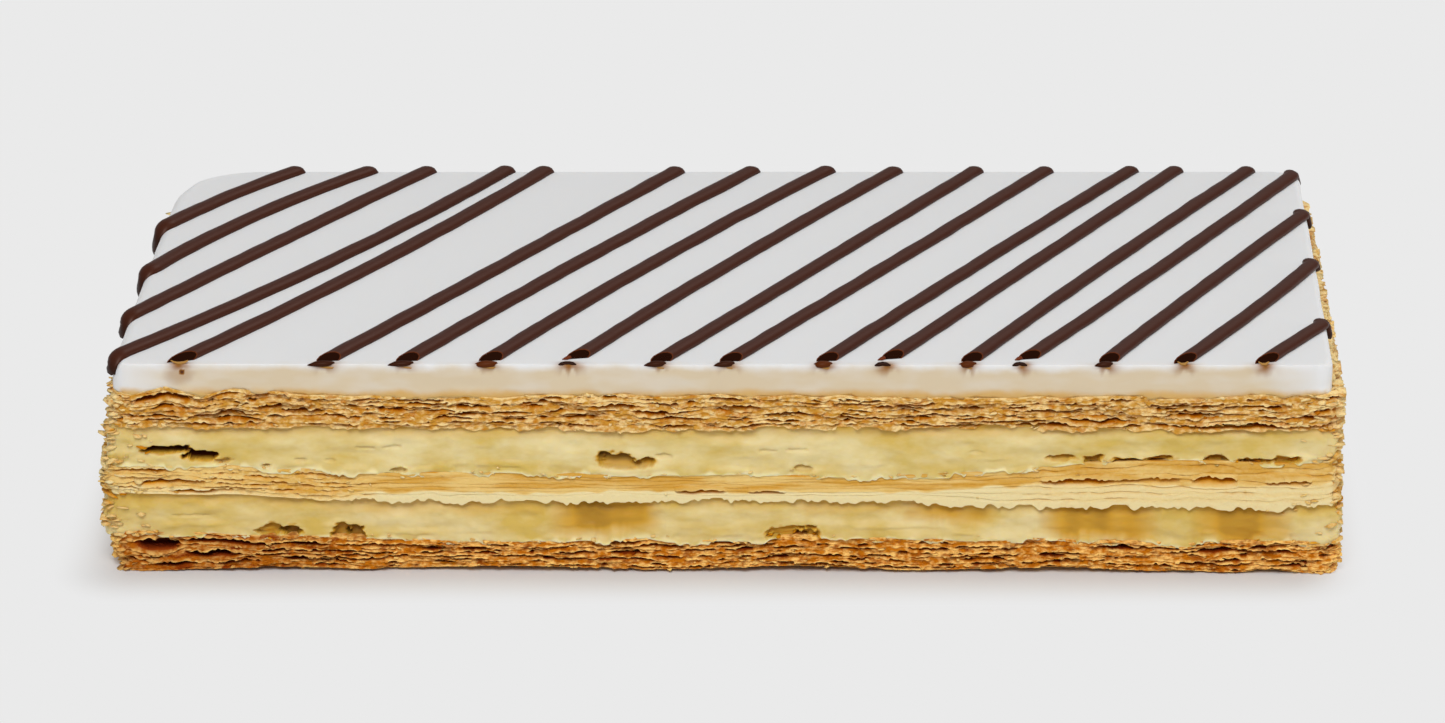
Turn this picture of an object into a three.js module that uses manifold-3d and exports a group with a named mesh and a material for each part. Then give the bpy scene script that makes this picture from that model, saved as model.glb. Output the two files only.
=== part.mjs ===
// A mille feuille bar: three sheets of flaky pastry, two layers of custard between them, and a white
// icing striped with piped chocolate. Millimetres, +Z up. The front was cut with a knife and faces -Y.
// The origin is on the board, under the middle of the bar.
import * as THREE from "three";
import { mergeVertices } from "three/addons/utils/BufferGeometryUtils.js";
import Module from "manifold-3d";

const wasm = await Module();
wasm.setup();
const { clamp, degToRad, lerp, smoothstep } = THREE.MathUtils;

// ---------------------------------------------------------------- driving sizes
const LENGTH = 200; // along the front cut
const DEPTH = 100; // from the front cut to the back edge
const THICKNESS = {
  pastry_bottom: 6.2,
  custard_lower: 6.8,
  pastry_middle: 5,
  custard_upper: 7.5,
  pastry_top: 5.8,
  icing: 5.2,
};
const CLEARANCE = 0.3; // air between two layers that touch
const RIM = 8; // width of the band round the edge where a layer's faces leave their flat middle
const COLUMNS = 120; // points round the outline of a layer

const END = LENGTH / 2;
const FRONT = -DEPTH / 2;
const BACK = DEPTH / 2;

// The heights where the layers meet, from the board to the top of the icing.
const LEVELS = [0];
for (const thickness of Object.values(THICKNESS)) LEVELS.push(LEVELS.at(-1) + thickness);
const TOP = LEVELS.at(-1);

// ---------------------------------------------------------------- unevenness
// A random number from 0 to 1, always the same for a whole number and a seed.
function chance(whole, seed) {
  let bits = Math.imul(whole + 1, 0x9e3779b1) ^ Math.imul(seed + 1, 0x85ebca6b);
  bits = Math.imul(bits ^ (bits >>> 15), 0x2c1b3c6d);
  bits = Math.imul(bits ^ (bits >>> 12), 0x297a2d39);
  return ((bits ^ (bits >>> 15)) >>> 0) / 2 ** 32;
}

// Smooth unevenness from -1 to 1 at a share of the way round an outline, with a number of bumps to it.
function bumpy(share, bumps, seed) {
  const place = share * bumps;
  const low = Math.floor(place);
  const from = chance(low % bumps, seed);
  const to = chance((low + 1) % bumps, seed);
  return 2 * lerp(from, to, smoothstep(place - low, 0, 1)) - 1;
}

// How far each meeting face runs over or under its level at the left end, in the middle and at the
// right end, and how much it waves.
const MEETINGS = [
  { ends: [0, 0, 0], waves: 0 },
  { ends: [0.5, -0.2, -0.3], waves: 0.45 },
  { ends: [0.7, 0.1, -0.9], waves: 0.35 },
  { ends: [-0.9, -0.5, 1.8], waves: 0.25 },
  { ends: [0, 0, 0], waves: 0.3 },
  { ends: [0.7, 0, 0], waves: 0.3 },
  { ends: [0, 0, 0], waves: 0 },
];

function meeting(level, x, y) {
  const { ends, waves } = MEETINGS[level];
  const [left, middle, right] = ends;
  const run = lerp(lerp(left, middle, smoothstep(x, -90, -50)), right, smoothstep(x, 35, 65));
  const slow = Math.sin(x / 19 + y / 23 + 2.1 * level);
  const quick = Math.sin(x / 6.1 - y / 7.7 + 4.7 * level);
  return run + waves * (0.6 * slow + 0.4 * quick);
}

// The bottom sheet arches: its edge is off the board between the corners.
const ARCH = 1.1;
function arch(x, y) {
  const along = clamp(1 - (x / END) ** 4, 0, 1);
  const across = Math.abs(y) > BACK - RIM ? 1 : 0.4;
  return ARCH * along * across * (0.75 + 0.25 * Math.sin(x / 7));
}

// ---------------------------------------------------------------- layers
// A rectangle with rounded corners, brought in by an inset, as points that run anticlockwise from the
// front left corner. Its radii run front left, front right, back right, back left.
function outline({ left, right, front, back, radii }, inset = 0) {
  const path = new THREE.Path();
  radii.forEach((radius, corner) => {
    const bend = Math.max(1, radius - inset);
    const x = corner === 0 || corner === 3 ? left + inset + bend : right - inset - bend;
    const y = corner < 2 ? front + inset + bend : back - inset - bend;
    const turn = Math.PI + (corner * Math.PI) / 2;
    path.absarc(x, y, bend, turn, turn + Math.PI / 2, false);
  });
  path.closePath();
  return Array.from({ length: COLUMNS }, (_, index) => {
    const share = index / COLUMNS;
    const at = path.getPointAt(share);
    const tangent = path.getTangentAt(share);
    return { index, share, at, out: new THREE.Vector2(tangent.y, -tangent.x), cut: at.y < FRONT + 1 };
  });
}

// A closed layer between two levels. A ring gives each column of the outline a height, as a share of
// the layer's thickness, and an offset outwards.
function layer(level, shape, rings) {
  const columns = outline(shape);
  const inner = outline(shape, RIM).map(({ at }) => at);
  const low = LEVELS[level] + (level > 0 ? CLEARANCE / 2 : 0);
  const high = LEVELS[level + 1] - (level + 1 < LEVELS.length - 1 ? CLEARANCE / 2 : 0);
  const positions = [];
  const indices = [];
  const vertex = (x, y, z) => positions.push(x, y, z) / 3 - 1;

  const hoops = rings.map(({ height, offset }) =>
    columns.map((column) => {
      const out = offset(column);
      const { x, y } = column.at.clone().addScaledVector(column.out, out);
      const fade = clamp(1 + out / RIM, 0, 1);
      const under = low + fade * (level > 0 ? meeting(level, x, y) : arch(x, y));
      const over = high + fade * meeting(level + 1, x, y);
      return vertex(x, y, lerp(under, over, height(column)));
    }),
  );
  const floor = inner.map(({ x, y }) => vertex(x, y, low));
  const ceiling = inner.map(({ x, y }) => vertex(x, y, high));

  const loops = [floor, ...hoops, ceiling];
  for (let k = 1; k < loops.length; k++) {
    const [lower, upper] = [loops[k - 1], loops[k]];
    lower.forEach((from, i) => {
      const next = (i + 1) % COLUMNS;
      indices.push(from, lower[next], upper[next], from, upper[next], upper[i]);
    });
  }
  for (const [a, b, c] of THREE.ShapeUtils.triangulateShape(inner, [])) {
    indices.push(ceiling[a], ceiling[b], ceiling[c]);
    indices.push(floor[c], floor[b], floor[a]);
  }
  return new THREE.BufferGeometry()
    .setAttribute("position", new THREE.Float32BufferAttribute(positions, 3))
    .setIndex(indices);
}

// ---------------------------------------------------------------- pastry
// A sheet shows as courses of baked leaves with ragged lips, and with pockets between the courses.
const COURSES = 3;
const RAGGED = { cut: 0.55, trimmed: 0.9 }; // how far the lips stick out or fall short
const PARTING = 0.1; // height of a pocket's mouth, as a share of the sheet
const POCKET = 2.2; // depth of the deepest pocket
const TUCK = { bottom: 0.5, course: 0.15 }; // how far the underside of a leaf lies behind its lip

function pastrySheet(level, shape, seed) {
  const lip = (course) => (column) => {
    const ragged = column.cut ? RAGGED.cut : RAGGED.trimmed;
    const torn = 2 * chance(column.index, seed + course) - 1;
    return ragged * (0.6 * torn + 0.4 * bumpy(column.share, 30, seed + course));
  };
  const seam = (course) => (column) =>
    course / COURSES + 0.045 * bumpy(column.share, 40, seed + COURSES + course);
  const rings = [];
  for (let course = 0; course < COURSES; course++) {
    const isFirst = course === 0;
    const isLast = course === COURSES - 1;
    const [lower, upper] = [seam(course), seam(course + 1)];
    const [here, above] = [lip(course), lip(course + 1)];
    rings.push({
      height: (column) => (isFirst ? 0 : lower(column) + PARTING / 2),
      offset: (column) => here(column) - (isFirst ? TUCK.bottom : TUCK.course),
    });
    rings.push({ height: (column) => (isLast ? 1 : upper(column) - PARTING / 2), offset: here });
    if (isLast) break;
    rings.push({
      height: upper,
      offset: (column) => {
        const open = Math.max(0.12, bumpy(column.share, 34, seed + 2 * COURSES + course));
        return Math.min(here(column), above(column)) - POCKET * open;
      },
    });
  }
  return layer(level, shape, rings);
}

// ---------------------------------------------------------------- custard
// Hollows along the front cut, where the lower custard was dragged in under the middle sheet.
const HOLLOWS = [
  { x: -35, half: 24, deep: 3 },
  { x: 28.5, half: 17.5, deep: 3 },
  { x: 62, half: 10.5, deep: 3.2 },
  { x: 85.5, half: 9, deep: 2.4 },
];

function hollow({ at, cut }) {
  if (!cut) return 0;
  return Math.max(...HOLLOWS.map(({ x, half, deep }) => deep * clamp(1 - ((at.x - x) / half) ** 4, 0, 1)));
}

function custardLayer(level, shape, seed, dragged = () => 0) {
  const SMEAR = 0.35;
  const BULGE = 0.5;
  const smear = (row, column) => SMEAR * (bumpy(column.share, 44, seed + row) - 1);
  const bulge = (column) => (column.cut ? 0 : BULGE);
  return layer(level, shape, [
    { height: () => 0, offset: (column) => smear(0, column) },
    { height: () => 0.45, offset: (column) => smear(1, column) + bulge(column) - 0.8 * dragged(column) },
    { height: () => 1, offset: (column) => smear(2, column) - dragged(column) },
  ]);
}

// ---------------------------------------------------------------- icing
// It set with a rounded edge on three sides, and the knife left it square at the front.
const ICING = { left: -END + 0.3, right: END - 0.1, front: FRONT, back: BACK - 0.4, radii: [4, 3, 5, 15] };
const EDGE_RADIUS = { cut: 0.5, set: 1, poured: 2.2 }; // the icing was poured off at the left edge

function icingLayer(seed) {
  const SWELL = 0.3;
  const radius = ({ cut, at }) => {
    if (cut) return EDGE_RADIUS.cut;
    return at.x < ICING.left + EDGE_RADIUS.poured ? EDGE_RADIUS.poured : EDGE_RADIUS.set;
  };
  const swell = ({ share }) => SWELL * bumpy(share, 26, seed);
  // The rounded edge is an arc: at a share of its quarter turn, so far down and so far in.
  const arc = (share) => ({
    height: (column) => 1 - ((1 - Math.sin((share * Math.PI) / 2)) * radius(column)) / THICKNESS.icing,
    offset: (column) => (1 - share) * swell(column) - (1 - Math.cos((share * Math.PI) / 2)) * radius(column),
  });
  return layer(5, ICING, [{ height: () => 0, offset: swell }, arc(0), arc(0.5), arc(1)]);
}

// ---------------------------------------------------------------- chocolate stripes
const BEAD = { width: 2.9, proud: 1.3, sunk: 0.5, sides: 6 };
const SMEARED = 0.2; // how far the knife dragged the cut ends out past the front

// An end that isn't cut bends over an edge of the icing with a radius, hangs down from the middle of
// the bead by a drop, and swings out past the edge by a reach.
const HOOKS = {
  left: { radius: EDGE_RADIUS.poured, drop: 3.8, reach: 0.9 },
  right: { radius: EDGE_RADIUS.set, drop: 2.4, reach: 0.9 },
  back: { radius: EDGE_RADIUS.set, drop: 2.4, reach: 0 },
};
const ACROSS = 0.6; // how far a hook turns from the stripe's own way to straight across its edge

// Each stripe's line: where it crosses the front cut, how many degrees it leans to the right, and how
// far its middle bows out to the right.
const LINES = [
  { x: -144.5, lean: 33.6, bow: -0.8 },
  { x: -126.8, lean: 31.7, bow: -2 },
  { x: -112, lean: 29.8, bow: -0.3 },
  { x: -100.7, lean: 31, bow: 2.3 },
  { x: -88.9, lean: 28.9, bow: 1.7 },
  { x: -64.9, lean: 28.7, bow: 0.2 },
  { x: -51.9, lean: 28.9, bow: -0.8 },
  { x: -38.4, lean: 28.8, bow: -1.3 },
  { x: -24.8, lean: 28.2, bow: -0.8 },
  { x: -10.3, lean: 28.1, bow: 0.1 },
  { x: 0.9, lean: 28.7, bow: 0.2 },
  { x: 16.6, lean: 28.4, bow: -0.3 },
  { x: 26.6, lean: 27.5, bow: -0.1 },
  { x: 40.1, lean: 27.2, bow: -0.5 },
  { x: 48.9, lean: 27.4, bow: 0.4 },
  { x: 62.5, lean: 26.3, bow: -0.3 },
  { x: 74.9, lean: 26.7, bow: 0.5 },
  { x: 88, lean: 30.9, bow: -0.1 },
];

// Whether a place is on the icing.
function isIced(x, y) {
  const { left, right, front, back, radii } = ICING;
  const radius = radii[y < 0 ? (x < 0 ? 0 : 1) : x < 0 ? 3 : 2];
  const dx = Math.max(left + radius - x, x - right + radius, 0);
  const dy = Math.max(front + radius - y, y - back + radius, 0);
  return Math.hypot(dx, dy) <= radius;
}

// A closed tube with an oval section, through stations that each have a middle, a side direction,
// an up direction and a scale.
function bead(stations) {
  const { width, proud, sunk, sides } = BEAD;
  const positions = [];
  const indices = [];
  for (const { middle, side, up, scale = 1 } of stations)
    for (let k = 0; k < sides; k++) {
      const turn = ((k + 0.5) / sides) * 2 * Math.PI;
      const point = middle.clone();
      point.addScaledVector(side, scale * Math.cos(turn) * (width / 2));
      point.addScaledVector(up, scale * Math.sin(turn) * ((proud + sunk) / 2));
      positions.push(...point);
    }
  const last = (stations.length - 1) * sides;
  for (let from = 0; from < last; from += sides)
    for (let k = 0; k < sides; k++) {
      const next = (k + 1) % sides;
      const to = from + sides;
      indices.push(from + k, to + next, from + next, from + k, to + k, to + next);
    }
  for (let k = 1; k < sides - 1; k++) indices.push(0, k, k + 1, last, last + k + 1, last + k);
  return new THREE.BufferGeometry()
    .setAttribute("position", new THREE.Float32BufferAttribute(positions, 3))
    .setIndex(indices);
}

// A stripe along its line, over the icing. It starts past the front cut, or hangs down at the left
// edge, and its other end hangs down at the back or right edge.
function stripe({ x, lean, bow }) {
  const STEP = 0.5;
  const up = new THREE.Vector3(0, 0, 1);
  const along = new THREE.Vector3(Math.sin(degToRad(lean)), Math.cos(degToRad(lean)), 0);
  const side = new THREE.Vector3().crossVectors(along, up);
  const origin = new THREE.Vector3(x, FRONT, TOP + (BEAD.proud - BEAD.sunk) / 2);
  const place = (distance) => origin.clone().addScaledVector(along, distance);

  const iced = [];
  for (let distance = 0; distance < 2 * DEPTH; distance += STEP) {
    const { x: px, y: py } = place(distance);
    if (isIced(px, py)) iced.push(distance);
  }
  const [start, end] = [iced[0], iced.at(-1)];
  const isCut = start === 0;

  // An end bends over the edge in a quarter turn and hangs there.
  const hook = (rim, own, across, { radius, drop, reach }) => {
    const way = own.clone().lerp(across, ACROSS).normalize();
    const square = new THREE.Vector3().crossVectors(way, up);
    if (square.dot(side) < 0) square.negate();
    const bend = [0, 0.5, 1].map((share) => {
      const turn = (share * Math.PI) / 2;
      const middle = rim.clone().addScaledVector(way, (Math.sin(turn) - 1) * radius);
      middle.z -= (1 - Math.cos(turn)) * radius;
      const outwards = way.clone().multiplyScalar(Math.sin(turn)).addScaledVector(up, Math.cos(turn));
      return { middle, side: side.clone().lerp(square, share).normalize(), up: outwards };
    });
    const tip = rim.clone().addScaledVector(way, reach);
    tip.z -= drop;
    return [...bend, { middle: tip, side: square, up: way, scale: 0.7 }];
  };
  const back = along.clone().negate();
  const right = new THREE.Vector3(1, 0, 0);
  const head = isCut
    ? [{ middle: place(-BEAD.width), side, up }]
    : hook(place(start), back, right.clone().negate(), HOOKS.left).reverse();
  const run = [1 / 4, 1 / 2, 3 / 4].map((share) => {
    const middle = place(lerp(start, end, share));
    return { middle: middle.addScaledVector(side, 4 * bow * share * (1 - share)), side, up };
  });
  const isRight = place(end).x > ICING.right - ICING.radii[2] / 2;
  const [across, size] = isRight ? [right, HOOKS.right] : [along, HOOKS.back];
  return bead([...head, ...run, ...hook(place(end), along, across, size)]);
}

// ---------------------------------------------------------------- joining
function solid(geometry) {
  const merged = mergeVertices(geometry);
  const mesh = {
    numProp: 3,
    vertProperties: merged.attributes.position.array,
    triVerts: new Uint32Array(merged.index.array),
  };
  return new wasm.Manifold(new wasm.Mesh(mesh));
}

// The icing and its stripes are one piece. The knife cut the stripes off at the front.
function stripedIcing(seed) {
  const room = new THREE.BoxGeometry(2 * LENGTH, 2 * DEPTH, 2 * TOP);
  room.translate(0, FRONT - SMEARED + DEPTH, TOP);
  for (const name of ["normal", "uv"]) room.deleteAttribute(name);
  const kept = solid(room);
  const joined = LINES.reduce(
    (icing, line) => icing.add(solid(stripe(line)).intersect(kept)),
    solid(icingLayer(seed)),
  );
  const { vertProperties, triVerts } = joined.getMesh();
  return new THREE.BufferGeometry()
    .setAttribute("position", new THREE.BufferAttribute(vertProperties, 3))
    .setIndex(new THREE.BufferAttribute(triVerts, 1));
}

// ---------------------------------------------------------------- the bar
// The layers' outlines: the custard and the middle sheet are squeezed out furthest, at the left end.
const shape = (left, right, back, radii) => ({ left, right, front: FRONT, back, radii });
const SHAPES = {
  pastry_bottom: shape(-END, END + 1.2, BACK - 0.2, [3, 3, 4, 6]),
  custard_lower: shape(-END - 1.7, END + 1.5, BACK - 0.4, [3, 3, 5, 6]),
  pastry_middle: shape(-END - 1.8, END + 1.2, BACK, [3, 3, 4, 6]),
  custard_upper: shape(-END - 0.6, END + 0.6, BACK - 0.6, [3, 3, 5, 6]),
  pastry_top: shape(-END + 0.5, END + 1.3, BACK, [3, 3, 4, 8]),
};

const pieces = {
  pastry_bottom: { geometry: pastrySheet(0, SHAPES.pastry_bottom, 100), color: "#c48a45", roughness: 0.85 },
  custard_lower: {
    geometry: custardLayer(1, SHAPES.custard_lower, 200, hollow),
    color: "#e2cd84",
    roughness: 0.45,
  },
  pastry_middle: { geometry: pastrySheet(2, SHAPES.pastry_middle, 300), color: "#dcb76e", roughness: 0.7 },
  custard_upper: { geometry: custardLayer(3, SHAPES.custard_upper, 400), color: "#e6d38b", roughness: 0.45 },
  pastry_top: { geometry: pastrySheet(4, SHAPES.pastry_top, 500), color: "#cb9d58", roughness: 0.85 },
  icing: { geometry: stripedIcing(600), color: "#eeeeec", roughness: 0.3 },
};

const bar = new THREE.Group();
for (const [name, { geometry, color, roughness }] of Object.entries(pieces)) {
  const mesh = new THREE.Mesh(geometry, new THREE.MeshStandardMaterial({ color, roughness, metalness: 0 }));
  mesh.name = name;
  bar.add(mesh);
}

export default bar;
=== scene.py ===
import math
from functools import partial
from types import SimpleNamespace

import bmesh
import bpy
import numpy as np
from mathutils import Matrix, Vector


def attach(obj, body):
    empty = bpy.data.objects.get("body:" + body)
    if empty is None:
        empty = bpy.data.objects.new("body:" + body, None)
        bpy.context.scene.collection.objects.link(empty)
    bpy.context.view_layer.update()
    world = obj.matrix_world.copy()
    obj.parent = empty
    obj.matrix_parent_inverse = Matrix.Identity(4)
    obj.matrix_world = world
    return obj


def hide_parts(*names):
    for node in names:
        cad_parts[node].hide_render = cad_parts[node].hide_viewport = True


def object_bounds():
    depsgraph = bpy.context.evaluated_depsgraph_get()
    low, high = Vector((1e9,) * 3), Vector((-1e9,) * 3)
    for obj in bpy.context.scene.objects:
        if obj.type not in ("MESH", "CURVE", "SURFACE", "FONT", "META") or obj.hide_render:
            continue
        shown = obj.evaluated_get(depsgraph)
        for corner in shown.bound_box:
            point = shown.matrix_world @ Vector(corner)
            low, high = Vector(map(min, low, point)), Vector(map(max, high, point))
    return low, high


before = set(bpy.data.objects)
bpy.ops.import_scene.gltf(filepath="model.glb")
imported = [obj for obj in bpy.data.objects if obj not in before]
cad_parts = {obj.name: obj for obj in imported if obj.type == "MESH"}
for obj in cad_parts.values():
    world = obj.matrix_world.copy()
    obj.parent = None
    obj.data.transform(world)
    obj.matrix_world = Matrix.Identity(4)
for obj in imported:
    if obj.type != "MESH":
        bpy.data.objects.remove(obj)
cad_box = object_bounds()
scene = bpy.context.scene
MM = 0.001

# ---------------- bottom pastry sheet
# Puff pastry: dozens of thin leaves of dough that rose apart in the oven and were pressed flat again.
# It was baked hard and dark, because it carries the bar. The knife tore its leaves along the front,
# so each has a ragged pale lip, and dark pockets open between them.

LENGTH, DEPTH = 200, 100
THICKNESS = [6.2, 6.8, 5.0, 7.5, 5.8, 5.2]  # from the bottom sheet to the icing
LEVELS = np.concatenate([[0], np.cumsum(THICKNESS)])
FRONT, BACK, END = -DEPTH / 2, DEPTH / 2, LENGTH / 2
RIM = 8  # band round the edge where a layer's faces leave their flat middle
SPACING = SimpleNamespace(front=0.27, ends=0.9, back=2)  # between a wall's columns
REACH = SimpleNamespace(cut=0.44, rest=0.6)  # how far a lip may stick out of the outline


def smooth(value, low, high):
    """0 below low, 1 above high, and an S curve between."""
    share = np.clip((value - low) / (high - low), 0, 1)
    return share * share * (3 - 2 * share)


def noise(x, y, z=0, seed=0):
    """Smooth noise from -1 to 1 with bumps one unit apart. Whole steps of z are unlike each other."""
    x, y, z = np.broadcast_arrays(x, y, np.asarray(z, float))
    cell = [np.floor(v) for v in (x, y, z)]
    ease = [(v - c) ** 2 * (3 - 2 * (v - c)) for v, c in zip((x, y, z), cell)]
    whole = [c.astype(np.int64).astype(np.uint32) for c in cell]
    total = np.zeros(x.shape)
    for corner in range(8):
        share = np.ones(x.shape)
        bits = np.full(x.shape, (seed * 0x9E3779B1 + 0x7F4A7C15) & 0xFFFFFFFF, np.uint32)
        for axis, prime in enumerate((0x8DA6B343, 0xD8163841, 0xCB1AB31F)):
            step = corner >> axis & 1
            share = share * (ease[axis] if step else 1 - ease[axis])
            bits = bits ^ (whole[axis] + np.uint32(step)) * np.uint32(prime)
        bits = (bits ^ bits >> np.uint32(15)) * np.uint32(0x2C1B3C6D)
        bits = (bits ^ bits >> np.uint32(12)) * np.uint32(0x297A2D39)
        total += share * ((bits ^ bits >> np.uint32(15)) / 2**32)
    return 2 * total - 1


def bumps_on(edge, seed):
    """Noise along an outline, whose bumps have a size in millimetres. Each number is another pattern."""

    def bumps(size, rise, number):
        return noise(edge.x / size, edge.y / size, rise, seed + number)

    return bumps


def outline(left, right, back, radii):
    """Columns round a rectangle with rounded corners, anticlockwise from the front left corner.

    Cut says how far a column is on the knife's cut, and reach how far out its lips may stick.
    """
    turns = np.radians(np.linspace(0, 90, 30))
    points = []
    for corner, radius in enumerate(radii):
        x = left + radius if corner in (0, 3) else right - radius
        y = FRONT + radius if corner < 2 else back - radius
        angle = turns + math.pi + corner * math.pi / 2
        points.append(np.stack([x + radius * np.cos(angle), y + radius * np.sin(angle)], 1))
    points = np.concatenate(points + [points[0][:1]])
    run = np.concatenate([[0], np.cumsum(np.hypot(*np.diff(points, axis=0).T))])
    step = 0.05
    place = np.arange(0, run[-1], step)
    dense = np.stack([np.interp(place, run, points[:, k]) for k in (0, 1)])
    # The outward direction is averaged over the rim, so that deep pockets don't cross at a corner.
    span = int(RIM / step)
    tangent = np.roll(dense, -span // 2, 1) - np.roll(dense, span // 2, 1)
    ring = np.concatenate([tangent] * 3, 1)
    ring = np.stack([np.convolve(row, np.ones(span + 1) / (span + 1), "same") for row in ring])
    tangent = ring[:, place.size : 2 * place.size]
    tangent /= np.hypot(*tangent)
    # The columns stand closest along the cut, where the wall is finest, and furthest apart at the back.
    space = np.where(dense[1] > BACK - 3, SPACING.back, SPACING.ends)
    crowd = np.cumsum(step / np.where(dense[1] < FRONT + 1, SPACING.front, space))
    picked = np.searchsorted(crowd, np.linspace(0, crowd[-1], int(crowd[-1]), endpoint=False))
    x, y = dense[:, picked]
    cut = smooth(-y, -FRONT - 1.2, -FRONT - 0.4)
    reach = REACH.rest + (REACH.cut - REACH.rest) * cut
    return SimpleNamespace(x=x, y=y, nx=tangent[1, picked], ny=-tangent[0, picked], cut=cut, reach=reach)


# How far each meeting face runs over or under its level at the left end, in the middle and at the right
# end, how much it waves, as in the solids, and how much it wanders in between.
MEETINGS = [
    ((0, 0, 0), 0, 0),
    ((0.5, -0.2, -0.3), 0.45, 0.3),
    ((0.7, 0.1, -0.9), 0.35, 0.2),
    ((0.9, -0.5, 1.8), 0.25, 0.25),
    ((0, 0, 0), 0.3, 0.25),
    ((0.7, -0.25, -0.2), 0.3, 0.45),
    ((0, 0, 0), 0, 0),
]

# The one under the icing also rises and falls near the left end.
RISES = [(-101, -0.4), (-96, -1), (-90.6, 0.9), (-84.7, -0.5), (-77.4, 0.9), (-70, 0.2), (-60, 0)]
ARCH = 1.1  # how far the bottom sheet's edge is off the floor between its corners
INSETS = (4, 6, RIM)  # rings of a layer's underside and top, in from its outline


def meeting(level, x, y):
    """How far the face that two layers share is off its level."""
    (left, middle, right), waves, wander = MEETINGS[level]
    run = left + (middle - left) * smooth(x, -90, -50)
    run = run + (right - run) * smooth(x, 35, 65)
    slow = np.sin(x / 19 + y / 23 + 2.1 * level)
    quick = np.sin(x / 6.1 - y / 7.7 + 4.7 * level)
    if level == 5:
        run = run + np.interp(x, *zip(*RISES)) * smooth(-y, BACK - RIM, BACK)
    return run + waves * (0.6 * slow + 0.4 * quick) + wander * noise(x / 4, y / 4, level, 50)


def arch(x, y):
    """How far the bottom sheet is off the floor."""
    along = np.clip(1 - (x / END) ** 4, 0, 1)
    across = np.where(np.abs(y) > BACK - RIM, 1, 0.4)
    return ARCH * along * across * (0.75 + 0.25 * np.sin(x / 7))


def faces_of(level, edge, inset=0):
    """The heights of a layer's underside and top at a distance in from its outline."""
    x, y = edge.x * (1 - inset / END), edge.y * (1 - inset / BACK)
    fade = 1 - inset / RIM
    under = arch(x, y) if level == 0 else meeting(level, x, y)
    return LEVELS[level] + fade * under, LEVELS[level + 1] + fade * meeting(level + 1, x, y)


def put(name, data):
    """A new object in the scene."""
    thing = bpy.data.objects.new(name, data)
    scene.collection.objects.link(thing)
    return thing


def slab(name, level, edge, offset, height, **attributes):
    """A closed piece from rings of its wall, bottom first: how far out each column is, and how high."""
    columns = edge.x.size
    wall = np.stack([edge.x + offset * edge.nx, edge.y + offset * edge.ny, height], -1)
    under, over = [], []
    for inset in INSETS:
        x, y = edge.x * (1 - inset / END), edge.y * (1 - inset / BACK)
        low, high = faces_of(level, edge, inset)
        under.append(np.stack([x, y, low], -1))
        over.append(np.stack([x, y, high], -1))
    points = np.concatenate([under[::-1], wall, over])
    rings = len(points)
    centres = [(0, 0, LEVELS[level]), (0, 0, LEVELS[level + 1])]
    points = np.concatenate([points.reshape(-1, 3), centres]) * MM
    i = np.arange(columns)
    j = (i + 1) % columns
    row = np.arange(rings - 1)[:, None] * columns
    quads = np.stack([row + i, row + j, row + columns + j, row + columns + i], -1).reshape(-1, 4)
    last = (rings - 1) * columns
    floor = np.stack([np.full(columns, rings * columns), j, i], -1)
    ceiling = np.stack([np.full(columns, rings * columns + 1), last + i, last + j], -1)
    mesh = bpy.data.meshes.new(name)
    mesh.from_pydata(points.tolist(), [], quads.tolist() + floor.tolist() + ceiling.tolist())
    for key, values in attributes.items():
        extra = np.zeros((len(INSETS), columns))
        flat = np.concatenate([extra.ravel(), values.ravel(), extra.ravel(), [0, 0]])
        mesh.attributes.new(key, "FLOAT", "POINT").data.foreach_set("value", flat.astype(np.float32))
    return put(name, mesh)


def belongs(piece, node):
    """Each piece rides on the bar's one body, and stands in for a node of the solids."""
    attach(piece, "root")
    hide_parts(node)


def finish_piece(piece, material, node, soft=False):
    """Gives a piece its material and its place in the bar. A soft one is shaded smooth."""
    if soft:
        piece.data.shade_smooth()
    piece.data.materials.append(material)
    belongs(piece, node)


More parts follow.
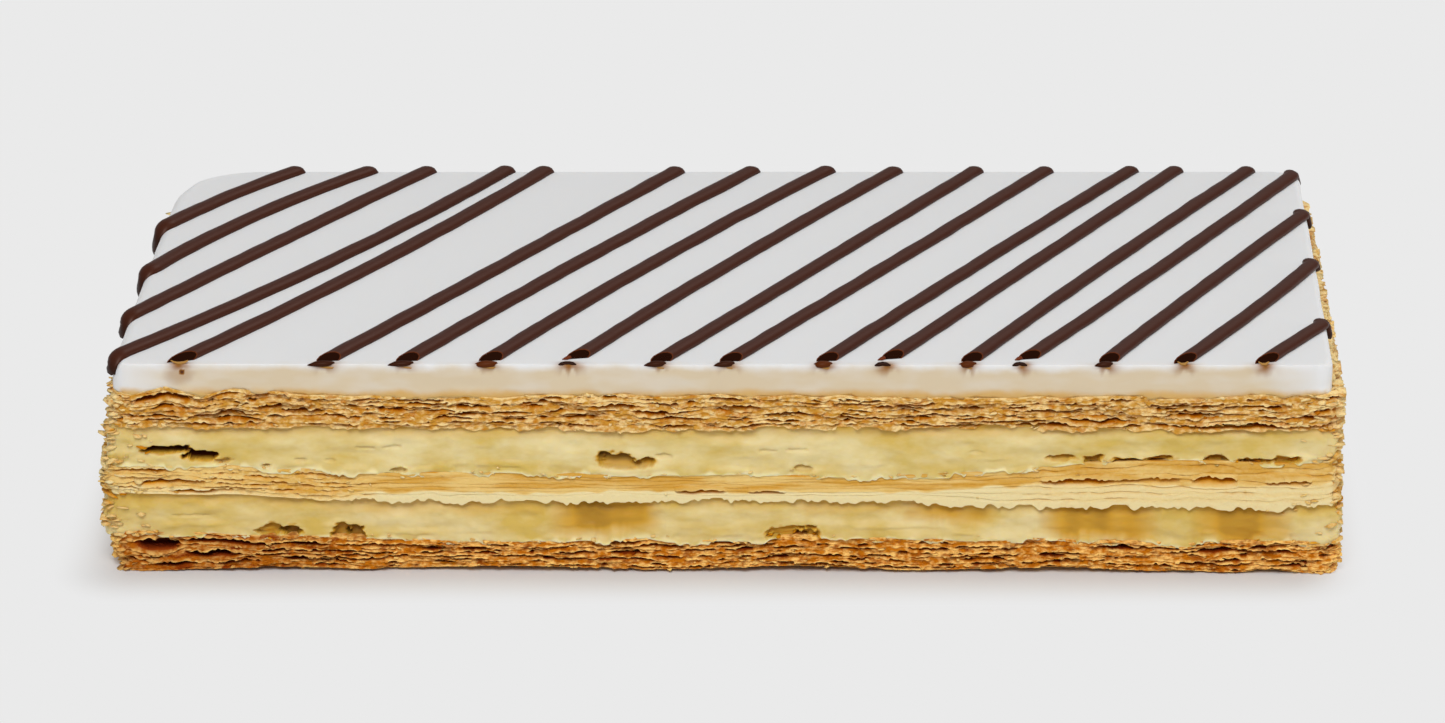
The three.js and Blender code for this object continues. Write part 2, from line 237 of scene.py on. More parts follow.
def pastry_wall(level, edge, leaves, seed, gap, lens, pocket, lenses=(), smear=0, drip=0):
    """Rings of a sheet's wall: ragged leaves whose faces lean back, and gaps that open between them.

    A gap is up to gap high, lens long and pocket deep. The lenses are single larger ones at a place and
    share of the sheet's height, with a half length, a height and a depth. Smear is where the knife pulled
    the leaves into one, and drip is how far the lowest lip hangs down.
    """
    x, y = edge.x, edge.y
    low, high = faces_of(level, edge)
    leaf = np.arange(leaves)[:, None]
    seam = leaf[:-1]
    rough = 1 - smear
    bumps = bumps_on(edge, seed)

    # A seam opens into gaps a few millimetres long, and between them its leaves bake together.
    spread = bumps(lens, seam, 12) + 0.6 * bumps(lens / 2.5, seam, 13) + 0.3 * bumps(12, seam, 9)
    parted = smooth(spread, -0.4, 0) * rough
    opening = smooth(spread + 0.25 * bumps(0.5, seam, 14), 0.05, 0.5) * rough
    gaps = gap * opening * (0.75 + 0.25 * bumps(1.2, seam, 15))
    depth = 0.25 * parted + pocket * opening
    pushed = np.zeros(gaps.shape)
    for place, rise, half, tall, deepest in lenses:
        number = round(rise * leaves) - 1  # its seam
        ragged = x + 0.6 * noise(x / 0.9, y, number, seed)
        shape = np.clip(1 - ((ragged - place) / half) ** 2, 0, 1) * edge.cut
        off = seam - number
        gaps *= 1 - np.clip(2 - abs(off), 0, 1) * smooth(shape, 0, 0.3)
        gaps[number] = np.maximum(gaps[number], tall * shape**0.6)
        pushed += 0.45 * tall * shape**0.6 * np.sign(off) * np.clip(1.2 - abs(off) / 4, 0, 1)
        depth[number] = np.maximum(depth[number], deepest * smooth(shape, 0, 0.6))
        parted[number] = np.maximum(parted[number], smooth(shape, 0, 0.2))
        opening[number] = np.maximum(opening[number], smooth(shape, 0, 0.5))

    # Neighbouring leaves stand back together, single ones tore off short, and every lip is ragged.
    none = np.zeros((1, x.size))
    under, over = np.concatenate([none, parted]), np.concatenate([parted, none])
    gaping = np.concatenate([opening, none])
    terrace = smooth(bumps(10, leaf / 2.6, 0), 0, 0.9)
    torn = smooth(bumps(5, leaf, 1) + 0.2 * bumps(1.1, leaf, 2), 0.2, 0.6) * (under + over) / 2
    teeth = 0.15 * bumps(2.6, leaf, 4) + 0.15 * bumps(0.9, leaf, 5) + 0.1 * bumps(0.5, leaf, 6)
    trim = (1 - edge.cut) * (0.9 * bumps(60, leaf, 7) + 0.8 * bumps(3, leaf, 8))
    lip = 0.15 + 0.2 * under + trim + rough * (teeth - 0.6 * terrace - 0.9 * torn)
    lip = lip + 0.1 * smear * bumps(7, leaf / 2, 4)
    lip = np.minimum(lip, edge.reach)

    # Each gap opens at its own seam's height and pushes the next leaves away only where it has to.
    pitch = (high - low) / leaves
    middle = low + pitch * (seam + 1 + 0.4 * bumps(9, seam, 16) + 0.25 * bumps(2.5, seam, 17)) + pushed
    bottom = np.concatenate([low[None], middle + 0.55 * gaps])
    top = np.concatenate([middle - 0.45 * gaps, high[None]])

    def press_down(thinnest):
        """From the top down, every leaf keeps a least thickness, and none crosses the next."""
        for k in range(leaves - 1, 0, -1):
            bottom[k] = np.minimum(bottom[k], top[k] - thinnest)
            top[k - 1] = np.minimum(top[k - 1], bottom[k] - 0.01)

    press_down(0.12)
    bottom[0] = low
    for k in range(1, leaves):
        top[k - 1] = np.maximum(top[k - 1], bottom[k - 1] + 0.12)
        bottom[k] = np.maximum(bottom[k], top[k - 1] + 0.01)
    top[-1] = high
    press_down(0.1)
    thick, gaps = top - bottom, bottom[1:] - top[:-1]
    # A face leans back towards the seam over it, and its ragged lip hangs in front of the one below.
    lean = 0.08 + over * (0.25 + 0.15 * bumps(3, leaf, 18)) + 0.6 * gaping
    hang = np.clip(0.15 + 0.25 * bumps(1.1, leaf, 19) + 0.35 * bumps(0.5, leaf, 20), 0, 0.6) * under
    hang[1:] = np.minimum(hang[1:], 0.2 * gaps + 0.2 * thick[:-1])
    hang[0] = drip
    tone = bumps(9, leaf, 21)

    def crumbs(height):
        """The fine roughness of a torn face."""
        coarse, fine = bumps(0.9, height / 0.5, 22), bumps(0.45, height / 0.28, 23)
        return (0.3 + 0.7 * rough) * (0.15 * coarse + 0.11 * fine)

    # Each leaf is painted paler at its lip, partly its own drier colour and partly a painted highlight,
    # and darker up its face towards the lip over it: painted shade. Each also has a random tone.
    rings = []
    for k in range(leaves):
        edged = under[k] if k else 0.6 + 0.6 * smear
        light = 0.7 + 0.3 * tone[k]
        foot = bottom[k] - hang[k]
        brim = np.minimum(0.18, 0.3 * thick[k])
        rings.append((lip[k] - 0.25 * edged, foot, none[0], 0.6 * edged * light))
        rings.append((lip[k], foot + 0.3 * brim, none[0], edged * light))
        face = ((0, 0.05, 0, 0.8 * edged), (0.5, 0.35, 0.12, 0.3), (0.85, 0.8, 0.5, 0))
        for share, back, shade, fair in face:
            rise = np.maximum(foot + brim, bottom[k] + share * thick[k])
            rings.append((lip[k] - back * lean[k] + crumbs(rise), rise, shade * gaping[k], fair * light))
        # Under the icing the top leaf is painted pale, a painted highlight; where smeared, it has a
        # butter stain.
        if k == leaves - 1:
            stain = 0.5 * smear * smooth(bumps(4, 0, 24) + 0.4 * bumps(1.2, 0, 25), 0, 0.5)
            rings[-1] = (*rings[-1][:2], stain, 0.9 * rough * light)
            break
        # The pocket between two leaves is painted dark, most where the gap opens: painted shade.
        flush = np.minimum(lip[k] - lean[k], lip[k + 1] - 0.25 * parted[k])
        inner = flush - depth[k]
        dark = 0.25 * parted[k] + 0.75 * opening[k]
        for share in (0.1, 0.9):
            rise = bottom[k] + thick[k] + share * gaps[k]
            rings.append((inner + 0.5 * crumbs(rise), rise, dark, none[0]))
    offset, height, deep, pale = (np.array(rows) for rows in zip(*rings))
    offset = np.minimum(offset, edge.reach)
    # The ends weren't cut again, so their flakes are pale and dry. The right end, turned away from the
    # lights, is painted paler still: painted light.
    deep = deep * (0.5 + 0.5 * edge.cut)
    pale = pale + (0.35 + 0.9 * smooth(x, END - 2, END)) * (1 - edge.cut)
    smeared = np.repeat(smear + none, len(offset), 0)
    # They are also where most loose flakes are. The back has fewer, and the cut only a few.
    loose = 2 - 1.6 * smooth(y, BACK - 8, BACK - 3)
    loose = loose - edge.cut * (1.5 + 0.5 * smeared - 0.8 * smooth(abs(x), 90, 99))
    height = np.maximum(height, 0)
    return dict(offset=offset, height=height, deep=deep, pale=pale, smeared=smeared, loose=loose)


def linear(code):
    """A Blender colour from an sRGB hex value."""
    parts = [int(code[k : k + 2], 16) / 255 for k in (1, 3, 5)]
    return [p / 12.92 if p <= 0.04045 else ((p + 0.055) / 1.055) ** 2.4 for p in parts] + [1]


def add_node(tree, kind, settings=None, **inputs):
    """Adds a node with its settings, and sets its inputs to values or links them to sockets.

    A node given as an input is linked by its first output that is on. Inputs without a name of their own
    are in0, in1 and in2, and a colour is its sRGB hex value.
    """
    families = ("ShaderNode", "GeometryNode", "FunctionNode", "Node")
    node = tree.nodes.new(next(family + kind for family in families if hasattr(bpy.types, family + kind)))
    for key, value in (settings or {}).items():
        setattr(node, key, value)
    for key, value in inputs.items():
        number = key.removeprefix("in")
        socket = node.inputs[int(number) if number.isdigit() else key.replace("_", " ")]
        if isinstance(value, bpy.types.Node):
            value = next(output for output in value.outputs if output.enabled)
        if isinstance(value, bpy.types.NodeSocket):
            tree.links.new(value, socket)
        else:
            coloured = isinstance(value, str) and value.startswith("#")
            socket.default_value = linear(value) if coloured else value
    return node


def new_material(name, finish, *colours, **more):
    """A material named for the real one. Its finish adds the nodes, laid by the place on the bar."""
    material = bpy.data.materials.new(name)
    material.use_nodes = True
    material.node_tree.nodes.clear()
    add = partial(add_node, material.node_tree)
    place = add("TexCoord").outputs["Object"]
    add("OutputMaterial", Surface=finish(add, place, *colours, **more))
    return material


RGBA, FLOAT, VECTOR = ({"data_type": kind} for kind in ("RGBA", "FLOAT", "FLOAT_VECTOR"))
MULTIPLY, MULTIPLY_ADD, SUBTRACT, SCALE = (
    {"operation": kind} for kind in ("MULTIPLY", "MULTIPLY_ADD", "SUBTRACT", "SCALE")
)
SMOOTH = {"interpolation_type": "SMOOTHSTEP"}


def baked_pastry(add, place, crumb, lip, hollow, pocket):
    """Baked puff pastry, torn by a knife: pale crumbly lips, golden faces and brown pockets with toasted
    specks. Deep paints shade in the pockets and under each lip; pale paints a highlight on the lips
    besides their own paler colour, and lightens the right end as painted light.

    Where the knife smeared it, it is buttery with creamy streaks.
    """
    deep, pale, smeared = (
        add("Attribute", {"attribute_name": key}).outputs["Fac"] for key in ("deep", "pale", "smeared")
    )
    along = add("Mapping", in0=place, Scale=(1, 1, 1.7))
    patches, specks, burnt = (
        add("TexNoise", Vector=along, Scale=1 / (size * MM), Detail=detail)
        for size, detail in ((5, 3), (1.1, 3), (1.7, 4))
    )
    light = add("Math", MULTIPLY_ADD, in0=specks, in1=3, in2=-1.5)
    light = add("Math", MULTIPLY_ADD, in0=patches, in1=1.2, in2=light)
    light = add("Math", MULTIPLY_ADD, in0=pale, in1=0.8, in2=light)
    light = add("MapRange", SMOOTH, Value=light, From_Min=0.3, From_Max=1.5)
    face = add("Mix", RGBA, Factor=light, A=crumb, B=lip)
    drawn = add("Mapping", in0=place, Scale=(0.25, 1, 2))
    streaks = add("TexNoise", Vector=drawn, Scale=1 / (3 * MM), Detail=5)
    soft = add("MapRange", SMOOTH, Value=streaks, From_Min=0.38, From_Max=0.62)
    soft = add("Math", MULTIPLY_ADD, in0=pale, in1=0.8, in2=soft)
    spread = add("Mix", RGBA, Factor=soft, A="#cf9a3c", B="#e4c278")
    creamy = add("MapRange", Value=pale, From_Min=0.9, From_Max=1.5)
    spread = add("Mix", RGBA, Factor=creamy, A=spread, B="#e6d6a4")
    soft = add("Math", MULTIPLY, in0=smeared, in1=0.9)
    face = add("Mix", RGBA, Factor=soft, A=face, B=spread)
    toasted = add("MapRange", Value=burnt, From_Min=0.46, From_Max=0.34, To_Max=0.3)
    firm = add("Math", SUBTRACT, in0=1, in1=smeared)
    deep = add("Math", MULTIPLY_ADD, in0=toasted, in1=firm, in2=deep)
    # Painted shade: as deep rises, the colour darkens to hollow and then to pocket.
    for low, high, dark in ((0, 0.5, hollow), (0.5, 1, pocket)):
        shade = add("MapRange", Value=deep, From_Min=low, From_Max=high)
        face = add("Mix", RGBA, Factor=shade, A=face, B=dark)
    grit = add("TexNoise", Vector=place, Scale=1 / (0.35 * MM), Detail=2)
    bump = add("Bump", Height=grit, Strength=0.5, Distance=0.12 * MM)
    return add(
        "BsdfPrincipled", Base_Color=face, Normal=bump, Roughness=0.65, IOR=1.45,
        Specular_IOR_Level=0.06, Subsurface_Weight=0.15, Subsurface_Radius=(1, 0.7, 0.35),
        Subsurface_Scale=0.6 * MM,
    )


def run_tree(source, tree, name, **inputs):
    """Runs a Geometry Nodes tree on an object with its inputs set, and gives the result as a mesh."""
    modifier = source.modifiers.new(tree.name, "NODES")
    modifier.node_group = tree
    for item in tree.interface.items_tree:
        if item.in_out == "INPUT" and item.name in inputs:
            modifier[item.identifier] = inputs[item.name]
    graph = bpy.context.evaluated_depsgraph_get()
    mesh = bpy.data.meshes.new_from_object(source.evaluated_get(graph))
    source.modifiers.clear()
    mesh.name = name
    return put(name, mesh)


def new_tree(name, **inputs):
    """A Geometry Nodes tree with named inputs, what adds a node to it, and its input sockets."""
    tree = bpy.data.node_groups.new(name, "GeometryNodeTree")
    for label, kind in (("Geometry", "Geometry"), *inputs.items()):
        tree.interface.new_socket(label, in_out="INPUT", socket_type="NodeSocket" + kind)
    tree.interface.new_socket("Geometry", in_out="OUTPUT", socket_type="NodeSocketGeometry")
    add = partial(add_node, tree)
    return tree, add, add("GroupInput").outputs


def flake_tree():
    """Geometry Nodes: torn flakes of leaf on a sheet's edge, near level and each its own size."""
    tree, add, given = new_tree("torn_flakes", Density="Float", Size="Float", Pastry="Material")
    loose = add("InputNamedAttribute", FLOAT, Name="loose")
    count = add("Math", MULTIPLY, in0=loose, in1=given["Density"])
    spots = add("DistributePointsOnFaces", Mesh=given["Geometry"], Density=count, Seed=7)
    turn = add("RandomValue", VECTOR, Min=(-0.4, -0.4, 0), Max=(0.4, 0.4, 6.28), Seed=1)
    size = add("RandomValue", VECTOR, Min=(0.4, 0.3, 0.08), Max=(1, 0.7, 0.16), Seed=2)
    big = add("Math", MULTIPLY_ADD, in0=loose, in1=0.8, in2=0.6)
    big = add("Math", MULTIPLY, in0=big, in1=given["Size"])
    size = add("VectorMath", SCALE, in0=size, Scale=big)
    ball = add("MeshIcoSphere", Radius=1, Subdivisions=1)
    flakes = add("InstanceOnPoints", Points=spots, Instance=ball, Rotation=turn, Scale=size)
    tone = add("RandomValue", FLOAT, Min=0.45, Max=1.6, Seed=3)
    on_each = {"data_type": "FLOAT", "domain": "INSTANCE"}
    flakes = add("StoreNamedAttribute", on_each, Geometry=flakes, Name="pale", Value=tone)
    flakes = add("RealizeInstances", in0=flakes)
    place = add("InputPosition")
    torn = add("TexNoise", Vector=place, Scale=1 / (0.5 * MM), Detail=1).outputs["Color"]
    torn = add("VectorMath", SUBTRACT, in0=torn, in1=(0.5, 0.5, 0.5))
    torn = add("VectorMath", SCALE, in0=torn, Scale=0.6 * MM)
    flakes = add("SetPosition", Geometry=flakes, Offset=torn)
    flakes = add("SetShadeSmooth", Geometry=flakes)
    flakes = add("SetMaterial", Geometry=flakes, Material=given["Pastry"])
    add("GroupOutput", in0=flakes)
    return tree


TORN_FLAKES = flake_tree()


def loose_flakes(sheet, density, size, material, node):
    """Torn flakes on a piece's edge, a number to the square millimetre, none of them past the solids."""
    flakes = run_tree(
        sheet, TORN_FLAKES, node + "_flakes", Density=density / MM**2, Size=size * MM, Pastry=material
    )
    points = np.zeros(3 * len(flakes.data.vertices), np.float32)
    flakes.data.vertices.foreach_get("co", points)
    points = np.clip(points.reshape(-1, 3), *cad_box)
    flakes.data.vertices.foreach_set("co", points.astype(np.float32).ravel())
    belongs(flakes, node)


# The larger gaps at the cut: place, share of the sheet's height, half length, height and depth.
BOTTOM_LENSES = [
    (-93.2, 0.67, 4.2, 1.7, 1.9), (-81.5, 0.78, 8, 0.8, 1.5), (-84, 0.45, 4.8, 1.2, 1.7),
    (-90.3, 0.22, 3.4, 0.9, 1.5), (-68.5, 0.78, 3.2, 0.9, 1.6), (-56, 0.78, 8, 0.35, 0.9),
    (-69.5, 0.33, 3, 1, 1.6), (-16.5, 0.89, 4.5, 0.6, 1.6), (-10, 0.78, 4, 0.5, 1.4),
    (-24, 0.6, 4, 0.6, 1.6), (-8.5, 0.4, 3, 0.5, 1.4), (65, 0.8, 4.5, 0.6, 1.4),
    (81, 0.7, 3.5, 0.8, 1.8), (83, 0.5, 2.6, 0.7, 1.8), (77.5, 0.3, 3.4, 0.6, 1.6),
    (92, 0.7, 2.6, 0.6, 1.4),
]
bottom_edge = outline(-END, END + 1.2, BACK - 0.2, (3, 3, 4, 6))
bottom_wall = pastry_wall(0, bottom_edge, 9, 1000, gap=0.6, lens=3.4, pocket=0.6, lenses=BOTTOM_LENSES)
# It baked darkest at the left end.
baked = 0.24 * smooth(-bottom_edge.x, 50, 78) * bottom_edge.cut
bottom_wall["deep"] += baked * (1 - 0.9 * np.clip(bottom_wall["pale"], 0, 1))
bottom_sheet = slab("pastry_bottom_leaves", 0, bottom_edge, **bottom_wall)
hard_baked = new_material(
    "hard baked puff pastry", baked_pastry, "#c0700c", "#fac872", "#883804", "#5c1c06"
)
finish_piece(bottom_sheet, hard_baked, "pastry_bottom")
loose_flakes(bottom_sheet, 0.2, 0.9, hard_baked, "pastry_bottom")

# ---------------- lower custard
# Pastry custard, set firm enough to slice. The knife smeared it along the cut, and under the middle
# sheet's overhanging lip it was dragged in, which left shaded hollows.

ROWS = 42  # up a custard wall
# Each one's middle, its half width, its depth, and the share of the wall's height where it starts.
HOLLOWS = [
    (-47, 23, 1, 0.4), (-19, 10, 1.7, -0.05), (22, 13, 1, 0.4), (37.5, 8.5, 1.5, 0.2),
    (62, 10.5, 1.6, -0.15), (85.5, 9, 1.6, -0.15),
]


def custard_wall(level, edge, seed, undercut, steeped, pits=(), hollows=()):
    """Rings of a custard wall: soft drags, a torn skirt over the sheet below, and pits.

    Undercut is how far the top stands back, and steeped how far butter stains it all. A pit has a place,
    a height, a half width, a half height and a depth, and is open below where it meets the sheet.
    """
    x, y = edge.x, edge.y
    low, high = faces_of(level, edge)
    share = np.linspace(0, 1, ROWS)[:, None] ** 1.15
    bumps = bumps_on(edge, seed)
    torn = bumps(3.2, 0, 0) + 0.45 * bumps(1.1, 0, 1) + 0.2 * bumps(0.5, 0, 2)
    skirt = 0.15 + 0.75 * smooth(torn, -0.2, 0.7)
    height = low - skirt + share * (high - low + skirt + 0.2)
    offset = 0.3 * bumps(9, height / 3, 3) + 0.3 * bumps(3.5, height / 1.6, 4) - 0.3
    offset = offset + 0.1 * bumps(1.4, height / 0.8, 16)
    offset = offset - undercut * (1 + 0.3 * bumps(6, 0, 14)) * smooth(share, 0.6, 0.95)
    # Torn ledges are left where the knife pulled, low down.
    ledge = bumps(5, height / 1.2, 5) + 0.3 * bumps(1.4, height / 0.8, 6)
    offset = offset + 0.35 * smooth(1 - share, 0.4, 0.9) * smooth(ledge, 0, 0.8)
    offset = np.minimum(offset + 0.5 * (1 - share) ** 5, REACH.cut)
    bulge = 0.3 + 0.5 * np.sin(share * math.pi) + 0.5 * bumps(3, height / 2, 8)
    offset = offset + (1 - edge.cut) * bulge
    offset = np.minimum(offset, edge.reach)
    # Under the sheet above it is darkened to mustard where that sheet's lips overhang: painted shade. Low
    # down on the cut it is paler, partly a smear and partly a painted highlight on its torn skirt.
    deep = steeped + 0.22 * smooth(share, 0.66, 0.9)
    deep = deep + 0.3 * smooth(share + 0.03 * bumps(2.5, 0, 17), 0.88, 0.98)
    rim = smooth((1 - share) ** 8 + 0.4 * bumps(1.5, 0, 15), 0.5, 1) * edge.cut
    for px, pz, half, tall, depth in pits:
        ragged = 0.45 * bumps(1.9, height / 0.9, 9) + 0.35 * bumps(0.7, height / 0.4, 10)
        far = np.hypot((x - px) / half, (height - pz) / tall) + ragged
        hole = smooth(-far, -1.1, -0.7) * edge.cut
        roof = np.clip(0.8 + 0.4 * (height - pz) / tall, 0.25, 1)
        roof = np.maximum(roof, smooth(low + 1.2 - pz, 0, 0.5))
        offset = offset - 0.64 * depth * hole * roof
        # Inside, up under its roof, it is painted dark: partly the brown pastry in it, partly painted
        # shade.
        dark = smooth(-far, -1.3, -0.9) * edge.cut
        deep = np.maximum(deep, dark * np.clip(1.3 * roof * (depth / 3.8) ** 1.5, 0, 1))
        # Round its edge it is painted paler: a painted highlight.
        lip = 0.25 * smooth(-far, -1.4, -1.15) * (1 - hole) * edge.cut
        rim = np.maximum(rim, lip * min(1, depth / 2))
    for middle, half, depth, start in hollows:
        pulled = np.clip(1 - ((x - middle) / half) ** 4, 0, 1) * (1 + 0.15 * bumps(2.5, 0, 11))
        reach = smooth(share + 0.1 * bumps(3, 0, 13), start, start + 0.45)
        offset = offset - 0.42 * depth * pulled * reach * edge.cut
        # There it is also painted mustard: painted shade.
        deep = np.maximum(deep, 0.38 * depth * pulled * reach * edge.cut)
    # Crumbs of pastry stick to it at the ends and, sparsely, low down on the cut.
    loose = 2 - 1.6 * smooth(y, BACK - 8, BACK - 3)
    loose = loose - edge.cut * (2 - 0.5 * smooth(-share, -0.15, 0) - 1.2 * smooth(abs(x), 90, 99))
    return dict(offset=offset, height=height, deep=deep, rim=rim, loose=loose)


def egg_custard(add, place, pale, rich, smear_and_highlight, hollow, hole):
    """Egg custard: a dense, faintly glossy cream that light enters. Its rim colour is partly a smear and
    partly a painted highlight on torn edges, and deep paints shade in the hollows and pits.
    """
    deep, rim = (add("Attribute", {"attribute_name": key}).outputs["Fac"] for key in ("deep", "rim"))
    along = add("Mapping", in0=place, Scale=(1, 1, 2))
    cloud = add("TexNoise", Vector=along, Scale=1 / (11 * MM), Detail=4, Roughness=0.55)
    cloud = add("MapRange", Value=cloud, From_Min=0.36, From_Max=0.64)
    colour = add("Mix", RGBA, Factor=cloud, A=rich, B=pale)
    colour = add("Mix", RGBA, Factor=rim, A=colour, B=smear_and_highlight)
    for low, high, dark in ((0, 0.6, hollow), (0.6, 1, hole)):
        shade = add("MapRange", Value=deep, From_Min=low, From_Max=high)
        colour = add("Mix", RGBA, Factor=shade, A=colour, B=dark)
    grain = add("TexNoise", Vector=place, Scale=1 / (1.5 * MM), Detail=3)
    bump = add("Bump", Height=grain, Strength=0.25, Distance=0.2 * MM)
    return add(
        "BsdfPrincipled", Base_Color=colour, Normal=bump, Roughness=0.42, IOR=1.4,
        Specular_IOR_Level=0.2, Subsurface_Weight=0.5, Subsurface_Radius=(1, 0.75, 0.3),
        Subsurface_Scale=1.2 * MM,
    )


custard = new_material(
    "pastry custard", egg_custard, "#e2d29e", "#d0b460", "#ecdca8", "#cc9c34", "#481a00"
)
lower_edge = outline(-END - 1.7, END + 1.5, BACK - 0.4, (3, 3, 5, 6))
LOWER_PITS = [
    (-88, 9.8, 3.2, 0.35, 0.5), (-74, 7.2, 2.2, 1.2, 2.4), (-71, 6.9, 1.6, 1.3, 2.8),
    (-62.6, 6.9, 1.5, 1.3, 2.6), (-60.2, 6.6, 1.4, 1.3, 2.8), (10.6, 6.9, 3.4, 1.2, 2.2),
    (14.4, 6.6, 2.2, 1.2, 2.5),
]
lower_wall = custard_wall(1, lower_edge, 2000, 0.5, 0.08, LOWER_PITS, HOLLOWS)
lower_custard = slab("custard_lower_fill", 1, lower_edge, **lower_wall)
finish_piece(lower_custard, custard, "custard_lower", soft=True)

# ---------------- middle pastry sheet
# The same pastry, but custard lies on both sides of it, and it drank from both. The knife pulled its soft
# leaves into one smear along the middle. They stayed apart at the two ends.

middle_edge = outline(-END - 1.8, END + 1.2, BACK, (3, 3, 4, 6))
x, y = middle_edge.x, middle_edge.y
bumps = bumps_on(middle_edge, 3100)
together = 0.4 + 0.6 * smooth(x + 2 * bumps(1, 0, 0), -66, -54) * (1 - 0.22 * smooth(x, 42, 54))
lipped = 0.6 + 0.5 * bumps(6, 0, 1) + 0.5 * bumps(1.7, 0, 2)
lipped = np.clip(lipped + 0.4 * bumps(0.6, 0, 3), 0, 1.9) * smooth(x, -72, -60)
MIDDLE_LENSES = [
    (-94, 0.79, 4, 0.5, 0.9), (-90.5, 0.43, 6.5, 0.6, 1), (-86.5, 0.15, 4, 0.5, 0.9),
    (-3.6, 0.3, 4.5, 0.5, 0.7), (8, 0.3, 3, 0.3, 0.6), (59, 0.5, 6.8, 0.8, 0.35),
    (70, 0.5, 6, 0.25, 0.2), (81.2, 0.5, 3.8, 0.9, 0.4), (93, 0.5, 4, 0.35, 0.3),
]
middle_wall = pastry_wall(
    2, middle_edge, 7, 3000, gap=0.5, lens=3.6, pocket=0.35, lenses=MIDDLE_LENSES,
    smear=0.97 * together * middle_edge.cut, drip=lipped * middle_edge.cut,
)
# Custard clings to its foot, higher up towards the right end.
clinging = 1.1 + 2.6 * smooth(x + 3 * bumps(3, 0, 5), 26, 56) + 0.3 * bumps(2, 0, 4)
clinging = smooth(LEVELS[2] + meeting(2, x, y) + clinging - middle_wall["height"], -0.3, 0.3)
middle_wall["pale"] = middle_wall["pale"] + 1.5 * clinging * middle_wall["smeared"]
# It also pales the leaves at the left end.
creamy = smooth(-x, 70, 84)
middle_wall["pale"] += 0.6 * creamy
middle_wall["smeared"] = np.maximum(middle_wall["smeared"], 0.8 * creamy)
middle_sheet = slab("pastry_middle_leaves", 2, middle_edge, **middle_wall)
soaked = new_material(
    "custard soaked puff pastry", baked_pastry, "#d09a38", "#e8ca8a", "#d08a10", "#b87008"
)
finish_piece(middle_sheet, soaked, "pastry_middle")
loose_flakes(middle_sheet, 0.2, 1, soaked, "pastry_middle")
# Crumbs of it stick to the custard under it too.
loose_flakes(lower_custard, 0.25, 1, soaked, "custard_lower")

# ---------------- upper custard
# The thicker of the two layers. It has a few larger holes at the cut, where the piped rows of custard
# didn't quite close up, and a row of small ones along the sheet under it at the right.

upper_edge = outline(-END - 0.6, END + 0.6, BACK - 0.6, (3, 3, 5, 6))
UPPER_PITS = [
    (-90.2, 21.4, 4.2, 0.7, 4.4), (-85.6, 20.3, 2.8, 0.75, 4.4), (-81.5, 19.5, 1.5, 0.5, 1.4),
    (-74.6, 18.7, 0.9, 0.4, 1.2), (-68.8, 19.7, 0.9, 0.35, 0.7), (-64, 19.6, 0.8, 0.3, 0.6),
    (-58.5, 21.8, 1.7, 0.3, 0.6), (-53.7, 21.9, 1.5, 0.35, 0.6), (-53, 18, 1.3, 0.45, 1.4),
    (-16.6, 19.6, 3.2, 1.4, 3), (-12.2, 19.3, 1.8, 0.8, 2.8), (-9, 20.4, 1.6, 0.4, 0.8),
    (7.6, 21.4, 1.6, 0.3, 0.6), (12.8, 21.5, 1.5, 0.35, 0.6), (13.5, 18.2, 1.6, 0.45, 1.4),
    (42, 21.2, 1.4, 0.25, 0.4), (55.8, 20.1, 2.2, 0.5, 2.1), (61.2, 19.9, 1.4, 0.9, 2.5),
    (67, 19.8, 3, 0.6, 2.3), (72, 20.1, 3, 0.6, 2.3), (81.3, 19.9, 1.8, 0.8, 2.5),
    (87.5, 19.8, 3, 0.55, 2.3), (92.5, 19.9, 2.2, 0.7, 2.3),
]
upper_wall = custard_wall(3, upper_edge, 4000, 0.5, 0.02, UPPER_PITS)
upper_custard = slab("custard_upper_fill", 3, upper_edge, **upper_wall)
finish_piece(upper_custard, custard, "custard_upper", soft=True)
loose_flakes(upper_custard, 0.25, 1, soaked, "custard_upper")

# ---------------- top pastry sheet
# The lightest sheet. It stayed dry under the icing, and its thin leaves are the most open of the three.

top_edge = outline(-END + 0.5, END + 1.3, BACK, (3, 3, 4, 8))
bumps = bumps_on(top_edge, 5100)
ragged_foot = np.clip(0.3 + 0.35 * bumps(2.5, 0, 0) + 0.3 * bumps(0.8, 0, 1), 0, 0.9) * top_edge.cut
TOP_LENSES = [
    (-91.5, 0.8, 5.5, 0.9, 2.4), (-73, 0.6, 3, 0.7, 2), (-68.5, 0.4, 3.8, 0.6, 1.8),
    (-85, 0.1, 3, 0.5, 1.4), (-34, 0.6, 3.2, 0.45, 1.4), (-16.5, 0.7, 4.2, 0.6, 1.8),
    (-10.5, 0.6, 3.4, 0.8, 2.2), (-7.6, 0.1, 3.2, 0.5, 1.6), (4, 0.7, 3.4, 0.6, 2),
    (12, 0.4, 3.2, 0.6, 1.8), (55.5, 0.1, 2.6, 0.8, 2.2), (62, 0.2, 4.8, 0.6, 1.8),
    (84.5, 0.1, 7.5, 1.1, 2.8), (79, 0.4, 3, 0.5, 1.4),
]
top_wall = pastry_wall(
    4, top_edge, 9, 5000, gap=0.6, lens=3, pocket=0.55, lenses=TOP_LENSES, drip=ragged_foot
)
top_sheet = slab("pastry_top_leaves", 4, top_edge, **top_wall)
golden = new_material("golden puff pastry", baked_pastry, "#c68e32", "#eed092", "#b86c06", "#a05000")
finish_piece(top_sheet, golden, "pastry_top")
loose_flakes(top_sheet, 0.2, 0.9, golden, "pastry_top")

# ---------------- icing
# Fondant, poured warm and smoothed, so that it ran over the left edge and set with a soft edge at the
# back. The knife left a square cut at the front, where crumbs and syrup stain its lower half beige.

ICING_RADIUS = SimpleNamespace(cut=0.06, set=1.0, poured=2.2)
ICING = SimpleNamespace(left=-END + 0.3, right=END - 0.1, back=BACK - 0.5, radii=(4, 3, 5, 15))
